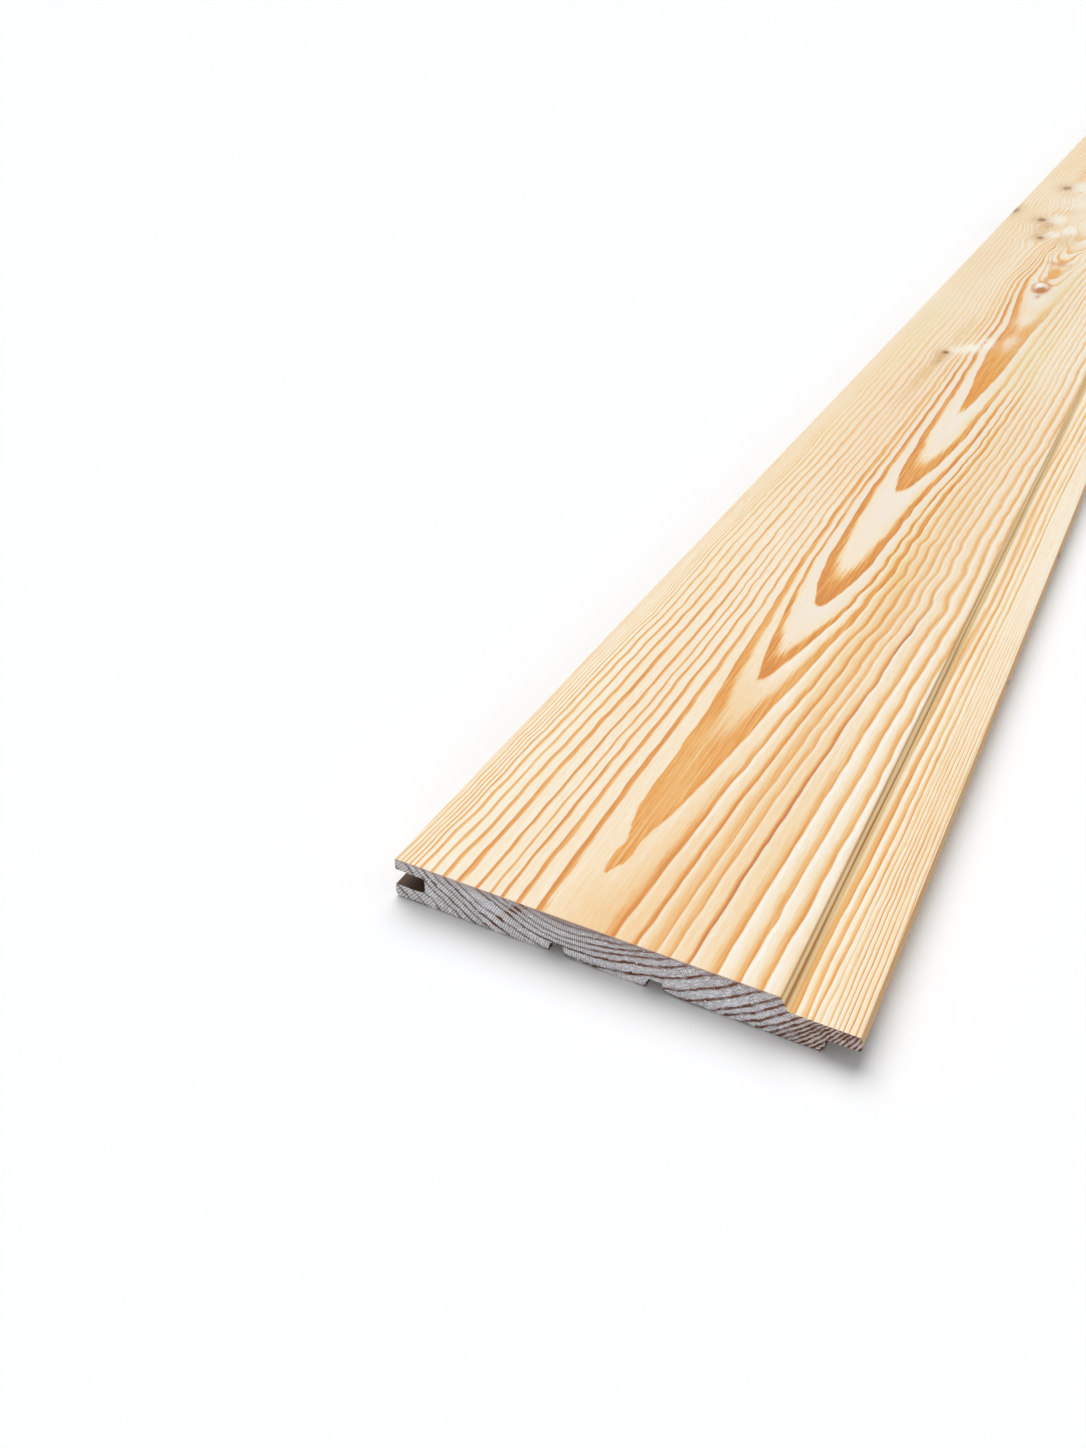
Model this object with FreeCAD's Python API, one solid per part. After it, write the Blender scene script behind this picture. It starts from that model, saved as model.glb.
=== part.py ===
import FreeCAD, Part
import math
import os

from FreeCAD import Vector

# Tongue and groove wall board with a shadow gap: one planed length of softwood.
# Frame: X along the length, with the front end at +X, Y across the width, from the
# groove edge to the tongue edge, Z up, with the planed face on top.
# The origin is the middle of the underside. All sizes in millimetres.

LENGTH = 2400.0          # stock length
WIDTH = 120.0            # over the tongue
THICK = 12.0

FACE = 100.5             # width of the planed face
LIP_TOP = 3.45           # upper groove lip, face to groove
GROOVE_H = 4.6           # groove height at the mouth
GROOVE_ROOT_H = 4.45     # groove height at its root, before the corner radii
GROOVE_D = 8.5           # groove depth from the lip edge
GROOVE_ROOT_R = 0.9      # corner radii at the root

LEDGE = 3.55             # depth of the shadow-gap ledge under the face
SHOULDER_RUN = 2.1       # how far the sloped shoulder leans out over its height
TONGUE_T = 4.35          # tongue thickness at its root
TONGUE_TIP_T = 4.2       # tongue thickness at its tip
TONGUE_TIP_R = 0.7       # rounded lower corner of the tip
NOSE_RUN = 0.65          # the upper corner of the tip is eased back this far over the ledge
NOSE_DROP = 1.9          # and this far down the tip
NOSE_R = 0.6
BACK_SHOULDER = 112.0    # where the full thickness ends at the back, from the groove edge

RELIEF_D = 3.0           # stress-relief slots in the underside
RELIEF_ROOF_W = 3.3
RELIEF_MOUTH_W = 4.1
RELIEF_AT = (45.4, 71.0)  # slot centres from the groove edge

LIP_LOW_R = 1.2          # rounded outer corner of the lower lip

ARRIS = 0.35             # small eased edges of the face
ARRIS_BACK = 0.5         # eased edges of the underside
COVE = 0.5               # small cove where the shoulder meets the ledge

Y0 = -WIDTH / 2.0


class Outline:
    """A closed profile in the YZ plane, built from straight runs with rounded corners."""

    def __init__(self):
        self.points = []

    def to(self, s, z, r=0.0):
        """Adds a corner at s from the groove edge and z above the underside."""
        self.points.append((Vector(0, Y0 + s, z), r))
        return self

    def wire(self, x):
        edges = []
        n = len(self.points)
        ins, outs, arcs = [], [], []
        for i in range(n):
            p, r = self.points[i]
            a = self.points[i - 1][0]
            b = self.points[(i + 1) % n][0]
            if r <= 0:
                ins.append(p)
                outs.append(p)
                arcs.append(None)
                continue
            u = (a - p).normalize()
            v = (b - p).normalize()
            half = u.getAngle(v) / 2.0
            t = r / math.tan(half)
            p1 = p + u * t
            p2 = p + v * t
            bis = (u + v).normalize()
            c = p + bis * (r / math.sin(half))
            mid = c - bis * r
            ins.append(p1)
            outs.append(p2)
            arcs.append(mid)
        shift = Vector(x, 0, 0)
        for i in range(n):
            if arcs[i] is not None:
                edges.append(Part.Arc(ins[i] + shift, arcs[i] + shift, outs[i] + shift).toShape())
            j = (i + 1) % n
            if (outs[i] - ins[j]).Length > 1e-6:
                edges.append(Part.LineSegment(outs[i] + shift, ins[j] + shift).toShape())
        return Part.Wire(edges)


def board_profile():
    o = Outline()
    top = THICK
    groove_top = THICK - LIP_TOP
    groove_low = groove_top - GROOVE_H
    root_mid = (groove_top + groove_low) / 2.0
    ledge = THICK - LEDGE
    tongue_low = ledge - TONGUE_T
    tip_low = ledge - TONGUE_TIP_T
    # face, from the groove edge to the shoulder
    o.to(0.0, top, ARRIS)
    o.to(FACE, top, ARRIS)
    # sloped shoulder down to the ledge, which runs on as the top of the tongue
    o.to(FACE + SHOULDER_RUN, ledge, COVE)
    o.to(WIDTH - NOSE_RUN, ledge, 0.3)
    o.to(WIDTH, ledge - NOSE_DROP, NOSE_R)
    o.to(WIDTH, tip_low, TONGUE_TIP_R)
    # underside of the tongue and the back shoulder
    o.to(BACK_SHOULDER, tongue_low, 0.3)
    o.to(BACK_SHOULDER, 0.0, ARRIS_BACK)
    # underside with its two relief slots, from the tongue side to the groove side
    for c in sorted(RELIEF_AT, reverse=True):
        o.to(c + RELIEF_MOUTH_W / 2.0, 0.0, 0.3)
        o.to(c + RELIEF_ROOF_W / 2.0, RELIEF_D, 0.4)
        o.to(c - RELIEF_ROOF_W / 2.0, RELIEF_D, 0.4)
        o.to(c - RELIEF_MOUTH_W / 2.0, 0.0, 0.3)
    # lower lip of the groove, flush with the upper one
    o.to(0.0, 0.0, LIP_LOW_R)
    o.to(0.0, groove_low, 0.35)
    # groove, narrowing slightly to its rounded root
    o.to(GROOVE_D, root_mid - GROOVE_ROOT_H / 2.0, GROOVE_ROOT_R)
    o.to(GROOVE_D, root_mid + GROOVE_ROOT_H / 2.0, GROOVE_ROOT_R)
    o.to(0.0, groove_top, 0.35)
    return o


def main():
    os.makedirs("parts", exist_ok=True)
    wire = board_profile().wire(-LENGTH / 2.0)
    face = Part.Face(wire)
    board = face.extrude(Vector(LENGTH, 0, 0))
    if board.ShapeType != "Solid":
        board = Part.Solid(board)
    assert board.isValid() and board.Volume > 0
    board.exportStep("parts/board.step")
    b = board.BoundBox
    print("board", round(b.XLength, 2), round(b.YLength, 2), round(b.ZLength, 2),
          "section mm2", round(face.Area, 1), "volume cm3", round(board.Volume / 1000.0, 1))


main()
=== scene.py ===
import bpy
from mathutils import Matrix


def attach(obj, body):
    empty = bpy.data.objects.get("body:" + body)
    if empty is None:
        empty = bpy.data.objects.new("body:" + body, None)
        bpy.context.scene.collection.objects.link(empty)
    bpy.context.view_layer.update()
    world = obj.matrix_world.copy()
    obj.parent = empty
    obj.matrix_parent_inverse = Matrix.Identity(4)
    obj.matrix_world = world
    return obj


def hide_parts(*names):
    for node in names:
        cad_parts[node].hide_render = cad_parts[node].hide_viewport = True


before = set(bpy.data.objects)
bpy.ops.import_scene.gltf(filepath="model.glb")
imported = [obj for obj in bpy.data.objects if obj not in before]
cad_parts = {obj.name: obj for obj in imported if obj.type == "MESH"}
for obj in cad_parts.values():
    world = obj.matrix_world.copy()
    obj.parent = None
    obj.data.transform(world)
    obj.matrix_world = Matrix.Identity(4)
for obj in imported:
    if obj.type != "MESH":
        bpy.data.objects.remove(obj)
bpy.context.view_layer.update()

# One planed pine board with a shadow-gap tongue and groove profile, lying face up on a pale studio floor.
# Board measures used below, all in millimetres: X runs from the sawn end in view (x = +1.2 m) to the far end,
# s runs across from the groove edge (y = -0.06 m), z is the height over the floor and d the depth under the face.
import math

import bpy
import numpy as np
from mathutils import Matrix, Vector
from mathutils.geometry import delaunay_2d_cdt

LENGTH, WIDTH, THICK = 2400.0, 120.0, 12.0

# ---------------------------------------------------------------- section outline
# (s, z, corner radius), clockwise as seen from the near end
CORNERS = [
    (0, 12, .35), (100.5, 12, .35), (102.6, 8.45, .5), (119.35, 8.45, .3), (120, 6.55, .6), (120, 4.25, .7),
    (112, 4.10, .3), (112, 0, .5),
    (73.05, 0, .3), (72.65, 3, .4), (69.35, 3, .4), (68.95, 0, .3),
    (47.45, 0, .3), (47.05, 3, .4), (43.75, 3, .4), (43.35, 0, .3),
    (0, 0, 1.2), (0, 3.95, .35), (8.5, 4.025, .9), (8.5, 8.475, .9), (0, 8.55, .35),
]
# step between outline points on the straight that starts at each corner, and its zone
# zones: 0 face, 1 ledge and tongue, 2 shoulder, 3 side and groove, 4 underside, 5 relief slots, 6 nose of the tongue
STEPS = [.95, .8, 1.0, .8, 1.5, 2.2, 1.6, 3.0, 1.6, 1.7, 1.6, 3.4, 1.6, 1.7, 1.6, 3.4, 1.5, 2.4, 1.5, 2.4, 1.3]
ZONES = [0, 2, 1, 6, 6, 3, 3, 4, 5, 5, 5, 4, 5, 5, 5, 4, 3, 3, 3, 3, 3]


def outline():
    n = len(CORNERS)
    runs = []
    for i in range(n):
        p = np.array(CORNERS[i][:2], float)
        a = np.array(CORNERS[i - 1][:2], float) - p
        b = np.array(CORNERS[(i + 1) % n][:2], float) - p
        a /= np.linalg.norm(a)
        b /= np.linalg.norm(b)
        r = CORNERS[i][2]
        half = math.acos(max(-1.0, min(1.0, float(a @ b)))) / 2
        t = r / math.tan(half)
        t0, t1 = p + a * t, p + b * t
        c = p + (a + b) / np.linalg.norm(a + b) * (r / math.sin(half))
        a0 = math.atan2(*(t0 - c)[::-1])
        a1 = math.atan2(*(t1 - c)[::-1])
        turn = (a1 - a0 + math.pi) % (2 * math.pi) - math.pi
        k = 3 if r >= .45 or i in (0, 1) else 2
        sign = 1.0 if turn < 0 else -1.0  # convex corners turn clockwise
        arc = []
        for j in range(k + 1):
            g = a0 + turn * j / k
            e = np.array([math.cos(g), math.sin(g)])
            arc.append((c + e * r, e * sign))
        runs.append(arc)
    pts, nrm, zone = [], [], []
    for i in range(n):
        for p, e in runs[i]:
            pts.append(p)
            nrm.append(e)
            zone.append(ZONES[i])
        p0, p1 = runs[i][-1][0], runs[(i + 1) % n][0][0]
        d = p1 - p0
        length = np.linalg.norm(d)
        m = max(1, int(round(length / STEPS[i])))
        e = np.array([-d[1], d[0]]) / length
        for j in range(1, m):
            pts.append(p0 + d * j / m)
            nrm.append(e)
            zone.append(ZONES[i])
    return np.array(pts), np.array(nrm), np.array(zone)


ring, ring_n, ring_zone = outline()
P = len(ring)
gap = np.linalg.norm(np.roll(ring, -1, 0) - ring, axis=1)
along = np.concatenate([[0.0], np.cumsum(gap)])  # P + 1 values round the section


# ---------------------------------------------------------------- growth rings
def spline(xs, ys):
    """Natural cubic spline through the points."""
    xs, ys = np.array(xs, float), np.array(ys, float)
    n = len(xs)
    h = np.diff(xs)
    a = np.zeros((n, n))
    r = np.zeros(n)
    a[0, 0] = a[-1, -1] = 1
    for i in range(1, n - 1):
        a[i, i - 1], a[i, i], a[i, i + 1] = h[i - 1], 2 * (h[i - 1] + h[i]), h[i]
        r[i] = 6 * ((ys[i + 1] - ys[i]) / h[i] - (ys[i] - ys[i - 1]) / h[i - 1])
    m = np.linalg.solve(a, r)

    def f(x):
        x = np.clip(x, xs[0], xs[-1])
        i = np.clip(np.searchsorted(xs, x, side="right") - 1, 0, n - 2)
        t0, t1 = xs[i + 1] - x, x - xs[i]
        return (m[i] * t0 ** 3 + m[i + 1] * t1 ** 3) / (6 * h[i]) + (ys[i] / h[i] - m[i] * h[i] / 6) * t0 + (ys[i + 1] / h[i] - m[i + 1] * h[i] / 6) * t1

    return f


def monotone(xs, ys):
    """Monotone cubic interpolation."""
    xs, ys = np.array(xs, float), np.array(ys, float)
    h, d = np.diff(xs), np.diff(ys) / np.diff(xs)
    m = np.zeros(len(xs))
    for i in range(1, len(xs) - 1):
        if d[i - 1] * d[i] > 0:
            w1, w2 = 2 * h[i] + h[i - 1], h[i] + 2 * h[i - 1]
            m[i] = (w1 + w2) / (w1 / d[i - 1] + w2 / d[i])
    m[0], m[-1] = d[0], d[-1]

    def f(x):
        x = np.clip(x, xs[0], xs[-1])
        i = np.clip(np.searchsorted(xs, x, side="right") - 1, 0, len(xs) - 2)
        t = (x - xs[i]) / h[i]
        return ys[i] * (1 + 2 * t) * (1 - t) ** 2 + m[i] * h[i] * t * (1 - t) ** 2 + ys[i + 1] * t * t * (3 - 2 * t) + m[i + 1] * h[i] * t * t * (t - 1)

    return f


def wave(seed, lx, ls, count=14):
    """Smooth seeded noise in X, s and d, about -1 to 1."""
    rng = np.random.default_rng(seed)
    kx = rng.uniform(.5, 1.6, count) * 2 * math.pi / lx * rng.choice([-1, 1], count)
    ks = rng.uniform(-1.3, 1.3, count) * 2 * math.pi / ls
    kd = rng.uniform(-1.0, 1.0, count) * 2 * math.pi / (ls * 1.6)
    ph = rng.uniform(0, 2 * math.pi, count)

    def f(x, s, d):
        out = np.zeros(np.broadcast(x, s, d).shape)
        for a, b, c, p in zip(kx, ks, kd, ph):
            out += np.sin(a * x + b * s + c * d + p)
        return out / math.sqrt(count) * 1.2

    return f


def smooth(a, b, x):
    t = np.clip((x - a) / (b - a), 0, 1)
    return t * t * (3 - 2 * t)


# The heart line of the cathedral figure: where it runs across the board, and how the ring measure falls along it
heart = spline([0, 40, 80, 120, 160, 200, 250, 300, 350, 400, 450, 500, 550, 600, 660, 740, 860, 1050, 1400, 1900, 2400],
               [49.45, 49.87, 50.79, 52.12, 53.13, 53.79, 53.64, 53.97, 55.91, 56.49, 56.91, 56.43, 57.2, 56.4, 55.2, 55, 55.5, 57, 59, 55, 51])
crest = spline([0, 40, 80, 120, 160, 200, 250, 300, 350, 400, 450, 500, 550, 600, 640, 665, 720, 745, 775, 840, 1000, 1300, 1700, 2100, 2400],
               [20.1, -9.4, -41.1, -89.8, -152.4, -232.5, -283.6, -323.0, -377.6, -407.6, -434.9, -462.4, -472, -535, -590, -625, -722, -785, -865, -1000, -1210, -1400, -1310, -1060, -860])
skew3 = monotone([0, 40, 80, 120, 160, 200, 250, 300, 350, 400, 450, 2400],
                 [-.156, -.186, -.185, -.157, -.156, -.139, -.136, -.159, -.062, -.073, -.058, -.06])
skew4 = monotone([0, 40, 80, 120, 160, 200, 250, 300, 350, 400, 450, 2400],
                 [-.165, -.132, -.121, -.105, -.072, -.09, -.042, 0, -.028, -.046, -.063, -.06])
# the flames end in points: a narrow dip of the ring measure along a line near the heart line
dip_at = monotone([0, 80, 125, 182, 240, 290, 396, 600, 2400], [50, 50.8, 52, 54.5, 53.8, 53.2, 56.5, 56.4, 55])
dip_by = monotone([0, 108, 125, 140, 163, 182, 200, 265, 290, 315, 375, 396, 420, 455, 2400],
                  [0, -3, -10, -8, -2, -8, -3, 0, 3, 0, -4, -9, -6, 0, 0])
# the first flame, with a thin crooked tip: its upper and lower outline
flame_up = monotone([10, 20, 30, 34, 40, 45, 50, 60, 71, 86, 100, 114, 130], [48.2, 48.0, 47.6, 48.0, 46.9, 45.9, 45.0, 44.7, 44.7, 44.4, 44.3, 43.8, 43.0])
flame_lo = monotone([10, 20, 26, 30, 34, 38, 43, 50, 60, 71, 86, 100, 114, 130], [48.3, 48.9, 51, 51.9, 51.1, 52, 52.6, 54, 55.5, 56.8, 58.4, 59.9, 61, 62])
RING_V = {
    -16: -1750, -15: -1600, -14: -1470, -13: -1350, -12: -1230, -11: -1110, -10: -990, -9: -870, -8: -765, -7: -700, -6: -625,
    -5: -564.7, -4: -413.9, -3: -312.3, -2: -204.4, -1: -107.2, 0: 0, 1: 125.4, 2: 269.6, 3: 422.5, 4: 552.2, 5: 750.7,
    6: 1058.4, 7: 1328.7, 8: 1585.2, 9: 1843, 10: 2048.2, 11: 2175.7, 12: 2293.2, 13: 2380, 14: 2519, 15: 2607, 16: 2666,
    17: 2720, 18: 2783, 19: 2838, 20: 2888, 21: 2939, 22: 3006, 23: 3056,
}
for k in range(24, 52):
    RING_V[k] = RING_V[k - 1] + (86 if k % 3 else 118)
count_rings = monotone([RING_V[k] for k in sorted(RING_V)], sorted(RING_V))
PER_MM = 134.8  # growth of the ring measure with depth
wob_a, wob_b, wob_c = wave(3, 46, 34), wave(5, 19, 16), wave(8, 240, 70)

# pin knots and small knots in the face: X, s, radius along, radius across, darkness
KNOTS = [(485, 30.6, 3.4, 2.3, 1.0), (775, 31.5, 6.5, 3.0, .8), (833, 23.2, 8.0, 4.0, .85), (961, 22.4, 10, 4.2, .7), (855, .6, 13, 3.6, .7)]


def measure(x, s, d):
    """The ring measure V and the offset w from the heart line."""
    x, s, d = np.broadcast_arrays(np.asarray(x, float), np.asarray(s, float), np.asarray(d, float))
    s = s.copy()
    for kx, ks, ra, rb, _ in KNOTS:  # rings bend round a knot
        g = np.exp(-((x - kx) / (ra * 2.6)) ** 2 - ((s - ks) / (rb * 2.2)) ** 2)
        s = s - (s - ks) * .62 * g
    s = s + .09 * wob_a(x, s, d) + .10 * wob_b(x, s, d) + .5 * wob_c(x, s, d) * smooth(640, 1000, x)
    # the rings on the left sink towards the heart line before the knots
    s = s - (5 * smooth(640, 705, x) + 5 * smooth(705, 765, x) - 10 * smooth(830, 1000, x)) * np.exp(-((s - 38) / 12) ** 2)
    # curly grain among the knots
    curl = smooth(690, 740, x) * np.exp(-(np.clip(x - 900, 0, None) / 160) ** 2) * np.exp(-((s - 44) / 26) ** 2)
    s = s + curl * (.35 * wob_b(x * .5, s * .8, d) + 1.5 * wob_a(x * .8, s * .9, d))
    # ripples in the right half behind the split
    s = s + (.36 * wob_b(x * .75, s * .4, d) + .20 * wob_a(x * 1.3, s * .5, d)) * np.exp(-((x - 205) / 62) ** 2) * smooth(58, 66, s) * (1 - smooth(90, 99, s))
    w0 = heart(x)
    e3, e4 = skew3(x), skew4(x)
    hi = 101.5 - w0

    def raw(at):
        u = at - w0
        c = np.minimum(u, hi)
        return c ** 2 + e3 * c ** 3 / 50 + e4 * c ** 4 / 2500 + (u - c) * (2 * hi + 3 * e3 * hi ** 2 / 50 + 4 * e4 * hi ** 3 / 2500)

    w = s - w0
    top = crest(x)
    v = raw(s) + top + PER_MM * d
    shallow = np.exp(-(d / 1.5) ** 2)
    v = v + 100 * (1 - smooth(4.6, 8.0, s)) * np.clip(1 - x / 110, 0, 1)
    v = v + dip_by(x) * np.exp(-((s - dip_at(x)) / 3.0) ** 2) * shallow
    up, lo = flame_up(x), flame_lo(x)
    t = np.clip((s - up) / (lo - up), 0, 1)
    aim = 1.3 * np.clip(20.7 - x, 0, None)
    off = (raw(up) + top - aim) * (1 - t) + (raw(lo) + top - aim) * t
    out = np.maximum(np.maximum(up - s, s - lo), 0)
    v = v - off * np.exp(-(out / 2.6) ** 2) * smooth(11, 20, x) * (1 - smooth(98, 124, x)) * shallow
    v = v - 13 * np.sin(math.pi * t) * smooth(19, 22, x) * (1 - smooth(46, 70, x)) * shallow
    # the rings part round the eye beyond the last flame
    ex, es = (x - 643) / 12, (s - 53.4) / 6.5
    v = v + 60 * np.exp(-(ex ** 2 + es ** 2)) * np.exp(-(d / 5) ** 2)
    return v, w


# Latewood of each ring, left and right of the heart line: (start, strength) near the end and (start, strength) further on
LEFT = {
    -10: (.5, .25, .5, .25), -9: (.5, .35, .5, .35), -8: (.5, .45, .5, .45), -7: (.5, .66, .5, .66), -6: (.4, .85, .4, .85),
    -5: (.62, .6, .62, .6), -4: (.5, .86, .5, .86), -3: (.46, 1.0, .46, 1.0), -2: (.5, 1.06, .5, 1.06), -1: (.60, 1.0, .66, .95), 0: (.34, .68, .34, .88),
    1: (.64, 1.02, .60, .98), 2: (.62, .95, .60, .96), 3: (.64, .98, .62, .98), 4: (.70, .88, .62, .92), 5: (.72, 1.06, .64, 1.10),
    6: (.64, .98, .62, .98), 7: (.60, .94, .62, .94), 8: (.66, .82, .62, .86), 9: (.56, .90, .60, .92), 10: (.48, .92, .58, .86),
    11: (.46, .88, .55, .80), 12: (.46, .80, .55, .62), 13: (.46, .74, .5, .45), 14: (.46, .64, .5, .3), 15: (.46, .60, .5, .3),
}
RIGHT = {
    -10: (.5, .25, .5, .25), -9: (.5, .35, .5, .35), -8: (.5, .45, .5, .45), -7: (.5, .66, .5, .66), -6: (.4, .85, .4, .85),
    -5: (.6, .6, .6, .6), -4: (.5, .84, .5, .84), -3: (.46, .95, .46, .95), -2: (.5, 1.05, .5, 1.05), -1: (.60, .98, .64, .92), 0: (.34, .68, .34, .86),
    1: (.5, .84, .46, .9), 2: (.55, .92, .45, .8), 3: (.20, .46, .22, .60), 4: (.28, .48, .36, .6), 5: (.64, .86, .50, .90),
    6: (.5, .78, .44, .88), 7: (.38, .78, .34, .92), 8: (.40, .78, .38, .86), 9: (.34, .66, .34, .84), 10: (.44, .56, .36, .78),
    11: (.44, .66, .36, .82), 12: (.5, .72, .30, 1.0), 13: (.3, 1.1, .34, 1.05), 14: (.18, .84, .32, .66), 15: (.36, 1.08, .34, 1.0),
    16: (.5, .56, .5, .46), 17: (.42, .70, .5, .52), 18: (.46, .90, .5, .62), 19: (.5, .74, .5, .56), 20: (.46, 1.0, .5, .66),
    21: (.5, .80, .5, .60), 22: (.46, 1.0, .5, .66), 23: (.5, .74, .5, .56),
}
# Ring edges on the ledge and tongue: s of rings 12 to 23 at stations along the board
LEDGE_X = [0, 20, 40, 80, 100, 120, 140, 160, 180, 200, 220, 250, 300, 330, 380, 450, 700, 1100, 1600, 2400]
LEDGE = [
    [101.0, 101.2, 101.5, 102.1, 102.4, 103.1, 103.6, 103.7, 103.8, 104.7, 105.6, 105.5, 105.3, 105.6, 107.0, 108.6, 107, 109, 106, 104],
    [104.3, 104.3, 104.8, 105.4, 105.7, 106.0, 106.3, 106.3, 106.9, 107.5, 108.1, 108.1, 108.2, 108.4, 109.6, 111.0, 110, 112, 109, 107],
    [106.9, 106.9, 107.3, 108.3, 108.5, 108.6, 108.8, 109.1, 109.4, 109.8, 110.2, 110.5, 110.7, 111.0, 112.0, 113.3, 112.6, 114, 112, 109],
    [108.4, 109.2, 109.7, 110.2, 110.3, 110.5, 110.7, 110.9, 111.1, 111.5, 111.9, 112.1, 112.2, 112.6, 113.7, 114.9, 114.4, 116, 114, 111],
    [110.0, 110.5, 110.9, 111.4, 111.5, 111.7, 111.9, 112.2, 112.5, 112.8, 113.1, 113.3, 113.5, 113.8, 114.9, 116.1, 115.8, 117, 115.6, 113],
    [111.9, 112.1, 112.2, 112.6, 112.7, 112.8, 113.0, 113.2, 113.5, 113.8, 114.2, 114.4, 114.6, 114.9, 116.0, 117.2, 117, 118, 117, 115],
    [113.1, 113.1, 113.2, 113.4, 113.4, 113.6, 113.9, 114.3, 114.5, 114.9, 115.2, 115.4, 115.6, 116.0, 117.0, 118.2, 118, 119, 118, 116.6],
    [114.3, 114.3, 114.3, 114.4, 114.5, 114.8, 115.0, 115.3, 115.5, 115.8, 116.1, 116.3, 116.6, 117.0, 118.0, 119.2, 119, 120, 119, 118],
    [115.5, 115.5, 115.6, 115.6, 115.7, 115.9, 116.1, 116.3, 116.5, 116.8, 117.1, 117.3, 117.6, 118.0, 119.0, 120.2, 120, 121, 120, 119],
    [116.6, 116.6, 116.7, 116.7, 116.8, 117.0, 117.1, 117.3, 117.5, 117.7, 118.1, 118.3, 118.6, 119.0, 120.0, 121.2, 121, 122, 121, 120],
    [118.1, 118.1, 118.0, 117.9, 117.9, 118.0, 118.2, 118.3, 118.6, 118.8, 119.1, 119.3, 119.6, 120.0, 121.0, 122.2, 122, 123, 122, 121],
    [119.4, 119.3, 119.2, 119.1, 119.1, 119.2, 119.3, 119.4, 119.7, 119.9, 120.2, 120.4, 120.7, 121.0, 122.0, 123.2, 123, 124, 123, 122],
]


def ledge_count(x, s):
    """Ring count on the ledge, linear between the ring edges given."""
    edges = [np.interp(x, LEDGE_X, row) for row in LEDGE]
    edges = [edges[0] - 2 * (edges[1] - edges[0])] + edges + [edges[-1] + 6]
    values = [10.0] + [float(12 + i) for i in range(len(LEDGE))] + [29.0]
    out = np.full(np.shape(s), values[0])
    for e0, e1, v0, v1 in zip(edges[:-1], edges[1:], values[:-1], values[1:]):
        out = out + (v1 - v0) * np.clip((s - e0) / (e1 - e0), 0, 1)
    return out



# Pale curls and coloured smears near the knots: X, s, reach along, reach across, amount, colour
SMEARS = [
    (446, 29.0, 30, 2.6, .7, (228, 190, 130)), (526, 31.4, 30, 2.8, .6, (232, 200, 144)), (474, 30.0, 10, 2.4, .7, (206, 160, 100)),
    (492, 35.5, 6, 4.0, 1.0, (252, 242, 222)), (500, 41, 7, 4.5, .9, (252, 244, 226)), (512, 46.5, 9, 3.5, .8, (252, 244, 228)),
    (520, 57, 13, 3.0, .8, (248, 222, 192)), (568, 56.5, 14, 5.0, .6, (247, 232, 210)), (612, 58, 12, 3.5, .5, (247, 236, 214)),
    (839, 33.5, 15, 6.5, 1.0, (251, 243, 224)), (808, 46, 14, 5.0, 1.0, (251, 244, 228)), (790, 37.7, 10, 4.5, .95, (252, 246, 232)),
    (968, 31.5, 20, 7, 1.0, (250, 244, 226)), (905, 36, 26, 12, .7, (247, 238, 216)), (858, 52, 24, 12, .6, (246, 232, 204)), (935, 52, 40, 14, .6, (248, 239, 220)),
    (800, 28.5, 22, 5, .7, (226, 190, 146)), (818, 30, 10, 4, .6, (214, 172, 124)), (775, 50, 22, 7, .5, (228, 196, 144)),
    (684, 55.5, 15, 2.6, 1.0, (234, 176, 92)), (664, 53.2, 10, 1.6, .9, (232, 172, 96)), (708, 54.5, 5.5, 6.0, .8, (220, 156, 94)),
    (560, 8, 60, 6, .4, (238, 224, 184)), (610, 18, 70, 9, .4, (242, 228, 196)), (700, 14, 70, 8, .4, (240, 214, 180)),
    (470, 12, 60, 5, .35, (240, 222, 176)), (640, 66, 60, 6, .5, (238, 222, 180)), (500, 72, 70, 8, .35, (240, 226, 178)),
]
LOW, HIGH = -16, 52
rng = np.random.default_rng(11)
par = np.zeros((2, 4, HIGH - LOW + 1))
for k in range(LOW, HIGH + 1):
    base = (float(rng.uniform(.4, .6)), float(rng.uniform(.5, .85)))
    for side, given in ((0, LEFT), (1, RIGHT)):
        got = given.get(k)
        if got is None:
            lo = base[1] * .85 if k > 15 else base[1]
            got = (base[0], lo, base[0], lo)
        par[side, :, k - LOW] = got


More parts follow.
